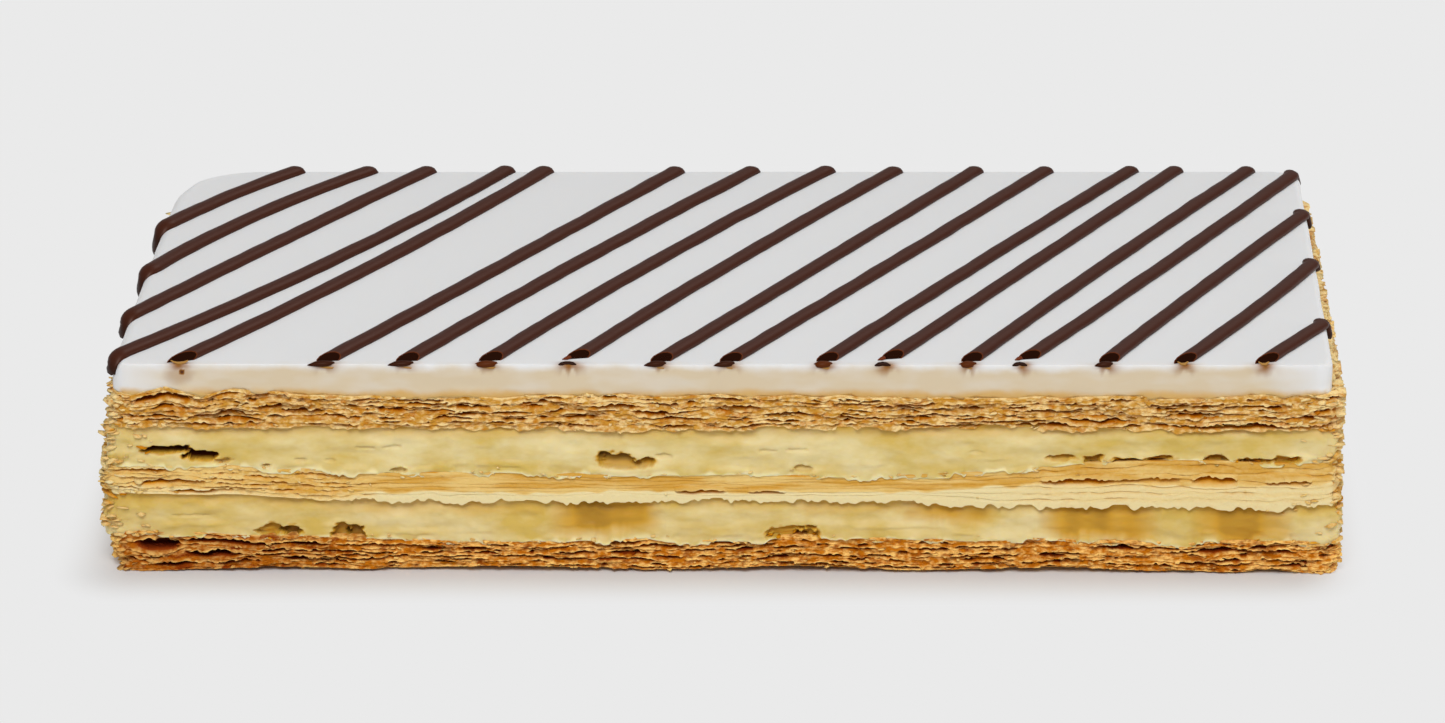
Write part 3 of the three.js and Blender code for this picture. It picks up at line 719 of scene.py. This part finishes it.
# The chocolate lines over it: where each one crosses the front, its lean in degrees, its bow, and how far
# its head and its tail hang down, where that differs. The knife cut off every head but the first four.
LINES = [
    (-144.5, 33.6, -0.8, 5), (-126.8, 31.7, -2, 4.4), (-112, 29.8, -0.3, 3.6),
    (-100.7, 31, 2.3, 2.9), (-88.9, 28.9, 1.7), (-64.9, 28.7, 0.2), (-51.9, 28.9, -0.8),
    (-38.4, 28.8, -1.3), (-24.8, 28.2, -0.8), (-10.3, 28.1, 0.1), (0.9, 28.7, 0.2),
    (16.6, 28.4, -0.3), (26.6, 27.5, -0.1), (40.1, 27.2, -0.5), (48.9, 27.4, 0.4),
    (62.5, 26.3, -0.3, 0, 2.9), (74.9, 26.7, 0.5, 0, 1.2), (88, 30.9, -0.1, 0, 2.9),
]
CUT_LINES = LINES[4:]
icing_edge = outline(ICING.left, ICING.right, ICING.back, ICING.radii)
x, y = icing_edge.x, icing_edge.y
low, high = faces_of(5, icing_edge)
radius = smooth(-x, -ICING.left - 4, -ICING.left - 0.5)
radius = ICING_RADIUS.set + (ICING_RADIUS.poured - ICING_RADIUS.set) * radius
radius = radius + (ICING_RADIUS.cut - radius) * icing_edge.cut
bumps = bumps_on(icing_edge, 6000)
swell = 0.12 * bumps(9, 0, 0)
share = np.linspace(0, 1, 14)[:, None]
wall_low = low - 0.3 - 0.3 * bumps(1.8, 0, 1) - 0.25 * bumps(0.7, 0, 2)
wall_height = wall_low + share * (high - radius - wall_low)
wall_offset = swell - 0.1 + 0.15 * bumps(3, wall_height / 1.5, 3) * (1 - share)
turn = np.linspace(0, math.pi / 2, 8)[1:, None]
arc_height = high - radius + radius * np.sin(turn)
arc_offset = swell - 0.1 - radius + radius * np.cos(turn)
# More rings on top let a stain begin behind the edge. They stay outside the first ring of the flat top.
far_in = [np.maximum(arc_offset[-1] - far, 0.3 - INSETS[0]) for far in (0.15, 1.1, 2)]
offset = np.concatenate([wall_offset, arc_offset, far_in])
height = np.concatenate([wall_height, arc_height, [high] * 3])
near_edge = np.clip((offset + 2.1) / 1.4, 0, 1)
cut = icing_edge.cut * (0.1 + 0.9 * near_edge)
# Cocoa butter ran down the cut under each line, from a little behind the edge.
tinge = np.zeros(offset.shape)
below = LEVELS[6] - height + 0.35 * (offset + 1)
for number, (place, *rest) in enumerate(CUT_LINES):
    width = 1.5 + 0.4 * noise(number, 0.5, 0, 6004)
    drawn = np.exp(-(((x - place - 0.7 + 0.4 * noise(below / 0.7, x / 2, number, 6005)) / width) ** 2))
    reach = smooth(-below, -2.1 - 0.9 * noise(x / 0.7, number, 0, 6006), -0.6)
    tinge = np.maximum(tinge, drawn * reach * near_edge * icing_edge.cut)
# Under the first one a wide brown ring shows, with a dark pit in it.
ring = np.hypot((x + 88.2) / 2.6, (height - 34.8) / 2)
ring = ring + 0.2 * noise(x / 1.2, y, height, 6007)
pit = np.hypot((x + 87.7) / 0.4, (height - 35.2) / 0.5)
tinge = np.maximum(tinge, 0.4 * smooth(-ring, -1.2, -0.3) * icing_edge.cut)
tinge = np.maximum(tinge, 1.6 * smooth(-pit, -1.3, -0.6) * icing_edge.cut)
# The cut edge is darkened a little with the same brown: painted shade that tones down its highlight.
tinge[len(wall_offset) : -len(far_in)] += 0.06 * icing_edge.cut
icing_slab = slab("icing_glaze", 5, icing_edge, offset, height, cut=cut, tinge=tinge)


def poured_fondant(add, place, white, stain, crust, cocoa, cocoa_pit):
    """Poured fondant: white, fine grained and satin, with light soaking a millimetre into it.

    On its cut, syrup stains it up to 37 mm and crust up to 33 mm, less towards the two ends.
    """
    cut, tinge = (add("Attribute", {"attribute_name": key}).outputs["Fac"] for key in ("cut", "tinge"))
    sides = add("SeparateXYZ", in0=place).outputs
    wisps = add("TexNoise", Vector=place, Scale=1 / (6 * MM), Detail=4)
    level = add("Math", MULTIPLY_ADD, in0=wisps, in1=2.4 * MM, in2=sides[2])
    stained = add("MapRange", SMOOTH, Value=level, From_Min=37.95 * MM, From_Max=36.1 * MM)
    for bare, full in ((-98, -88), (98, 86)):
        inner = add("MapRange", Value=sides[0], From_Min=bare * MM, From_Max=full * MM)
        stained = add("Math", MULTIPLY, in0=stained, in1=inner)
    stained = add("Math", MULTIPLY, in0=stained, in1=cut)
    soaked = add("Mapping", in0=place, Scale=(0.4, 1, 1))
    soaked = add("TexNoise", Vector=soaked, Scale=1 / (3 * MM), Detail=2)
    soaked = add("MapRange", Value=soaked, From_Min=0.3, From_Max=0.7, To_Min=0.75, To_Max=1.2)
    stained = add("Math", MULTIPLY, in0=stained, in1=soaked)
    crumbs = add("MapRange", SMOOTH, Value=level, From_Min=33.8 * MM, From_Max=32.2 * MM)
    crumbs = add("Math", MULTIPLY, in0=crumbs, in1=cut)
    darkest = add("MapRange", Value=tinge, From_Min=1, From_Max=1.5)
    colour = white
    for share, laid in ((stained, stain), (crumbs, crust), (tinge, cocoa), (darkest, cocoa_pit)):
        colour = add("Mix", RGBA, Factor=share, A=colour, B=laid)
    return add(
        "BsdfPrincipled", Base_Color=colour, Roughness=0.45, IOR=1.46,
        Specular_IOR_Level=0.3, Subsurface_Weight=0.5, Subsurface_Radius=(1, 0.9, 0.8),
        Subsurface_Scale=1.2 * MM,
    )


fondant = new_material(
    "poured fondant", poured_fondant, "#e2e2e2", "#d6c5a8", "#d4ac68", "#945c0a", "#5a2c0c"
)
finish_piece(icing_slab, fondant, "icing", soft=True)

# ---------------- chocolate stripes
# Dark chocolate, piped in quick straight lines from a 3 mm nozzle while it was warm. Each line ran over
# the edge and hangs there in a short hook. Along the front the knife cut them off.

BEAD = SimpleNamespace(width=2.9, proud=1.2, sunk=0.5)


def iced(x, y):
    """Whether a place is on the icing."""
    radius = ICING.radii[(0 if x < 0 else 1) if y < 0 else (3 if x < 0 else 2)]
    dx = max(ICING.left + radius - x, x - ICING.right + radius, 0)
    dy = max(FRONT + radius - y, y - ICING.back + radius, 0)
    return math.hypot(dx, dy) <= radius


def girth_at(cross):
    """The lines on the left were piped slower, and came out thicker."""
    return float(np.interp(cross, (-145, -60, 0, 90), (1.18, 1.13, 1.04, 0.97)))


def stripe_path(cross, lean, bow, head=0, tail=2.4):
    """Points along a stripe with the bead's girth there, from its cut or hanging head to its tail."""
    way = Vector((math.sin(math.radians(lean)), math.cos(math.radians(lean)), 0))
    aside = Vector((way.y, -way.x, 0))
    full = girth_at(cross)
    high = LEVELS[6] + BEAD.proud - (BEAD.proud + BEAD.sunk) / 2 * full
    origin = Vector((cross, FRONT, high))
    step = 0.5
    run = [d * step for d in range(4 * DEPTH) if iced(*(origin + way * d * step).xy)]
    start, end = run[0], run[-1]

    def hook(rim, away, aside, radius, drop, reach):
        """The bead bends over the edge at the rim, turns aside, and tapers to a tip."""
        bend = []
        for turn in np.linspace(0, math.pi / 2, 9):
            ease = 0.6 * (turn * 2 / math.pi) ** 2
            place = rim - away * (1 - math.sin(turn)) * radius + aside * ease
            bend.append(place - Vector((0, 0, radius * (1 - math.cos(turn)))))
        hang = max(drop - radius, 0.3)
        for share in (0.3, 0.6, 0.85, 1):
            place = rim + aside * (0.6 + share * 0.4) + away * reach * share
            bend.append(place - Vector((0, 0, radius + hang * share)))
        return list(zip(bend, [1] * 6 + [0.98, 0.95, 0.92, 0.88, 0.78, 0.62, 0.35]))

    left, right = Vector((-1, 0, 0)), Vector((1, 0, 0))
    if start > 0:
        rim = origin + way * start
        turned = (left + way * way.dot(right)) * 0.9
        first = hook(rim, -way, turned, ICING_RADIUS.poured, head, 0.5)[::-1]
    else:
        first = [(origin - way * 3, 1), (origin - way * 0.2, 1), (origin + way * 1.4, 1)]
    rim = origin + way * (end - 0.15)
    if rim.x > ICING.right - 2.5:
        last = hook(rim, way.lerp(right, 0.6).normalized(), Vector(), ICING_RADIUS.set, tail, 0.8)
    else:
        last = hook(rim, way, Vector(), ICING_RADIUS.set, tail, 0)
    middle = []
    for share in np.linspace(0, 1, 40):
        distance = start + 2.5 + share * (end - start - 4)
        lift = 4 * bow * share * (1 - share)
        middle.append((origin + way * distance + aside * lift, 1))
    return [(place, girth * full) for place, girth in first + middle + last]


def piping_tree():
    """Geometry Nodes: an oval bead of chocolate along each line, its width and path slightly uneven."""
    sizes = dict(Width="Float", Height="Float", Step="Float", Wobble="Float")
    tree, add, given = new_tree("piped_chocolate", **sizes, Chocolate="Material")
    lines = add("MeshToCurve", in0=given["Geometry"])
    spline = add("CurveSplineType", {"spline_type": "POLY"}, in0=lines)
    spline = add("ResampleCurve", {"mode": "LENGTH"}, Curve=spline, Length=given["Step"])
    spline = add("SetCurveNormal", {"mode": "Z_UP"}, Curve=spline)
    place = add("InputPosition")
    sway = add("TexNoise", Vector=place, Scale=1 / (9 * MM), Detail=1).outputs["Color"]
    sway = add("VectorMath", SUBTRACT, in0=sway, in1=(0.5, 0.5, 0.5))
    sway = add("VectorMath", MULTIPLY, in0=sway, in1=(2, 2, 0.3))
    sway = add("VectorMath", SCALE, in0=sway, Scale=given["Wobble"])
    spline = add("SetPosition", Geometry=spline, Offset=sway)
    swell = add("TexNoise", Vector=place, Scale=1 / (5 * MM), Detail=1)
    swell = add("MapRange", Value=swell, To_Min=0.92, To_Max=1.06)
    girth = add("InputNamedAttribute", FLOAT, Name="girth")
    girth = add("Math", MULTIPLY, in0=swell, in1=girth)
    circle = add("CurvePrimitiveCircle", Resolution=14, Radius=0.5)
    scale = add("CombineXYZ", X=given["Width"], Y=given["Height"], Z=1)
    oval = add("Transform", Geometry=circle, Scale=scale)
    bead = add("CurveToMesh", Curve=spline, Profile_Curve=oval, Scale=girth, Fill_Caps=True)
    bead = add("RealizeInstances", in0=bead)
    bead = add("SetMaterial", Geometry=bead, Material=given["Chocolate"])
    add("GroupOutput", in0=bead)
    return tree


PIPED_LINES = piping_tree()


def set_chocolate(add, place, colour, sheen=0.2, hung=None):
    """Melted dark chocolate that set without tempering: satin, with a soft sheen rather than a shine.

    Its colour where it ran over the edge and hangs down is darker: painted shade.
    """
    bloom = add("TexNoise", Vector=place, Scale=1 / (3 * MM), Detail=4)
    rough = add("MapRange", Value=bloom, To_Min=0.32, To_Max=0.5)
    grain = add("TexNoise", Vector=place, Scale=1 / (0.5 * MM), Detail=2)
    bump = add("Bump", Height=grain, Strength=0.15, Distance=0.05 * MM)
    over = add("SeparateXYZ", Vector=place).outputs["Z"]
    over = add("MapRange", Value=over, From_Min=34.6 * MM, From_Max=36.8 * MM)
    tone = add("Mix", RGBA, Factor=over, A=hung or colour, B=colour)
    return add(
        "BsdfPrincipled", Base_Color=tone, Normal=bump, Roughness=rough, IOR=1.5,
        Specular_IOR_Level=sheen, Specular_Tint="#ffdccc",
    )


def pipe(paths, name, width, height, material):
    """Pipes a bead along each path, a list of places and girths."""
    points = [point for path in paths for point in path]
    ends = np.cumsum([len(path) for path in paths])
    links = [(k, k + 1) for k in range(len(points) - 1) if k + 1 not in ends]
    mesh = bpy.data.meshes.new(name + "_lines")
    mesh.from_pydata([place * MM for place, girth in points], links, [])
    girths = mesh.attributes.new("girth", "FLOAT", "POINT")
    girths.data.foreach_set("value", [girth for place, girth in points])
    source = put(mesh.name, mesh)
    piece = run_tree(
        source, PIPED_LINES, name, Width=width * MM, Height=height * MM, Step=0.6 * MM,
        Wobble=0.18 * MM, Chocolate=material,
    )
    bpy.data.objects.remove(source)
    belongs(piece, "icing")
    return piece


# Where it hangs over the edge it is painted darker: painted shade.
chocolate = new_material("dark chocolate", set_chocolate, "#401d10", hung="#28120a")
paths = [stripe_path(*line) for line in LINES]
stripes = pipe(paths, "chocolate_stripes", BEAD.width, BEAD.proud + BEAD.sunk, chocolate)
CUT_FACE, CUT_RIM = 1, 2
# The rim round each cut face is redder and lighter: partly thin chocolate, partly a painted highlight.
for name, colour, sheen in (
    ("knife cut chocolate", "#220c04", 0.02),
    ("thin edge of chocolate", "#5c2a10", 0.1),
):
    stripes.data.materials.append(new_material(name, set_chocolate, colour, sheen))

# The knife cut each line off with its own slant, a little behind the front: how far, and which way the
# cut faces. It reached only the bead's front end, in a wedge that widens inwards.
CUTS = {
    "slant": (0.8, (0.3, -1, 1.3)),
    "pressed": (1.3, (0.08, -1, 1.15)),
    "thin": (1.5, (0.1, -1, 1.15)),
    "torn": (2.3, (0.2, -1, 1.1)),
}
KINDS = "slant pressed pressed thin torn pressed pressed thin torn thin torn pressed slant slant".split()
WEDGE = SimpleNamespace(length=9, half=6.2, widens=0.3)

shape = bmesh.new()
shape.from_mesh(stripes.data)
for (cross, *rest), kind in zip(CUT_LINES, KINDS):
    back, facing = CUTS[kind]
    near = []
    for v in shape.verts:
        half = WEDGE.half * MM + WEDGE.widens * (v.co.y - FRONT * MM)
        if v.co.y < (FRONT + WEDGE.length) * MM and abs(v.co.x - cross * MM) < half:
            near.append(v)
    edges = {edge for v in near for edge in v.link_edges}
    faces = {face for v in near for face in v.link_faces}
    bmesh.ops.bisect_plane(
        shape, geom=[*near, *edges, *faces], plane_no=Vector(facing).normalized(), clear_outer=True,
        plane_co=Vector((cross, FRONT + back, LEVELS[6] - 0.2)) * MM,
    )
for face in shape.faces:
    face.smooth = True
caps = bmesh.ops.holes_fill(shape, edges=[edge for edge in shape.edges if edge.is_boundary])["faces"]
bmesh.ops.recalc_face_normals(shape, faces=shape.faces[:])
# An inset rim round each cut face takes that lighter edge colour, partly a painted highlight.
rims = bmesh.ops.inset_individual(shape, faces=caps, thickness=0.16 * MM)["faces"]
for faces, number in ((caps, CUT_FACE), (rims, CUT_RIM)):
    for face in faces:
        face.material_index, face.smooth = number, False
shape.to_mesh(stripes.data)
shape.free()

# What it pressed off lies in front of a line's end, drawn out to the left in a point. A little cocoa
# butter ran down under it, and a torn end keeps a short spur. Each shape's points say how far they are to
# the right of the crossing, behind the front and above the icing, and the girth there.
LEFT_BEHIND = [
    ("pressed_chocolate", "pressed", "#36180a", [
        (2, 0.8, 0.05, 0.4), (1.4, 0.4, 0.1, 0.95), (0.1, 0.3, 0.05, 1.15), (-0.9, 0.3, 0, 0.9),
        (-1.6, 0.2, -0.1, 0.5), (-2.1, 0.1, -0.15, 0.15),
    ]),
    ("thin_smear_of_chocolate", "thin", "#54260a", [
        (2.4, 0.8, 0, 0.4), (1.8, 0.5, 0, 1), (0.3, 0.42, -0.05, 1.3), (-0.8, 0.45, -0.1, 0.9),
        (-1.4, 0.5, -0.1, 0.2),
    ]),
    ("torn_chocolate", "torn", "#260f06", [
        (1.8, 0.1, -0.05, 0.2), (1.2, 0.3, 0.05, 0.65), (0.1, 0.5, 0.1, 0.75), (-0.9, 0.3, 0, 0.7),
        (-1.5, 0.1, -0.1, 0.2),
    ]),
    ("spur_of_chocolate", "torn", "#6a3018", [
        (0.6, 2.8, 0.3, 0.5), (0, 2.5, 0.25, 0.7), (-0.5, 2.4, 0.15, 0.5), (-0.9, 2.3, 0.05, 0.15),
    ]),
    ("run_of_cocoa_butter", "pressed thin", "#a87c40", [
        (2.3, 0.35, -0.4, 0.2), (1.7, 0.25, -0.65, 0.45), (1, 0.25, -0.55, 0.5), (0.1, 0.3, -0.5, 0.35),
        (-0.8, 0.35, -0.4, 0.15),
    ]),
    ("drop_of_cocoa_butter", "slant", "#a87c40", [
        (2, 0.5, 0.5, 0.2), (1.4, 0.25, 0.2, 0.5), (0.6, 0.25, 0.1, 0.5), (-0.2, 0.3, 0.3, 0.3),
        (-0.6, 0.5, 0.5, 0.15),
    ]),
]
SQUEEZED = SimpleNamespace(width=1.2, height=0.95, spread=0.72)  # a thick line left more, and wider
for name, kinds, colour, points in LEFT_BEHIND:
    paths = []
    for (cross, *rest), kind in zip(CUT_LINES, KINDS):
        if kind in kinds:
            wide = SQUEEZED.spread * girth_at(cross) ** 3
            paths.append([
                (Vector((cross + wide * right, FRONT + back, LEVELS[6] + over)), girth)
                for right, back, over, girth in points
            ])
    material = new_material(name.replace("_", " "), set_chocolate, colour, 0.1)
    pipe(paths, name, SQUEEZED.width, SQUEEZED.height, material)

# ---------------- stage, light and camera
# A pale studio floor. Close to the bar it takes its shadow, and further out it glows evenly.

NEAR = SimpleNamespace(left=-97, right=93, front=-50, back=30, fade=14.5)


def lit_acrylic(add, place, colour, shaded):
    """White acrylic, lit from under, so that a shadow shows on it only close to what casts it. There its
    paint is a darker grey, a painted shadow.
    """
    centre = ((NEAR.left + NEAR.right) / 2 * MM, (NEAR.front + NEAR.back) / 2 * MM, 0)
    half = ((NEAR.right - NEAR.left) / 2 * MM, (NEAR.back - NEAR.front) / 2 * MM, 1)
    away = add("VectorMath", SUBTRACT, in0=place, in1=centre)
    away = add("VectorMath", {"operation": "ABSOLUTE"}, in0=away)
    away = add("VectorMath", SUBTRACT, in0=away, in1=half)
    away = add("VectorMath", {"operation": "MAXIMUM"}, in0=away, in1=(0, 0, 0))
    away = add("VectorMath", {"operation": "LENGTH"}, in0=away).outputs["Value"]
    glow = add("MapRange", SMOOTH, Value=away, From_Min=0, From_Max=NEAR.fade * MM)
    paint = add("BsdfDiffuse", Color=shaded)
    light = add("Emission", Color=colour)
    return add("MixShader", in0=glow, in1=paint, in2=light)


FLOOR = 6000  # half its width
mesh = bpy.data.meshes.new("floor")
corners = [(a * FLOOR * MM, b * FLOOR * MM, 0) for a, b in ((-1, -1), (1, -1), (1, 1), (-1, 1))]
mesh.from_pydata(corners, [], [(0, 1, 2, 3)])
mesh.materials.append(new_material("lit acrylic floor", lit_acrylic, "#eaeaea", "#dadadb"))
put("floor", mesh)

world = bpy.data.worlds.new("light tent")
world.use_nodes = True
for key, value in (("Color", (1, 1, 1, 1)), ("Strength", 0.3)):
    world.node_tree.nodes["Background"].inputs[key].default_value = value
scene.world = world


def softbox(name, place, size, power):
    """A square area light that faces the bar."""
    data = bpy.data.lights.new(name, "AREA")
    data.size = size
    data.energy = power
    light = put(name, data)
    light.location = place
    light.rotation_euler = (-Vector(place)).to_track_quat("-Z", "Y").to_euler()


softbox("front_light", (-0.1, -1.0, 1.15), 0.7, 15.7)
softbox("back_light", (0.35, 0.5, 1.0), 0.6, 2.6)
softbox("side_light", (1.1, -0.1, 0.14), 0.24, 2.2)

CAMERA = SimpleNamespace(place=(35.2, -937.21, 367.55), pitch=-20.414, roll=0.708, yaw=2.229, lens=145.12)
camera_data = bpy.data.cameras.new("camera")
camera_data.lens = CAMERA.lens
camera_data.sensor_width = 36
camera_data.clip_start, camera_data.clip_end = 0.05, 20
aim = Matrix.Identity(4)
for degrees, axis in ((CAMERA.yaw, "Z"), (CAMERA.pitch, "X"), (CAMERA.roll, "Y"), (90, "X")):
    aim = aim @ Matrix.Rotation(math.radians(degrees), 4, axis)
scene.camera = put("camera", camera_data)
scene.camera.matrix_world = Matrix.Translation(Vector(CAMERA.place) * MM) @ aim
scene.view_settings.view_transform = "Standard"
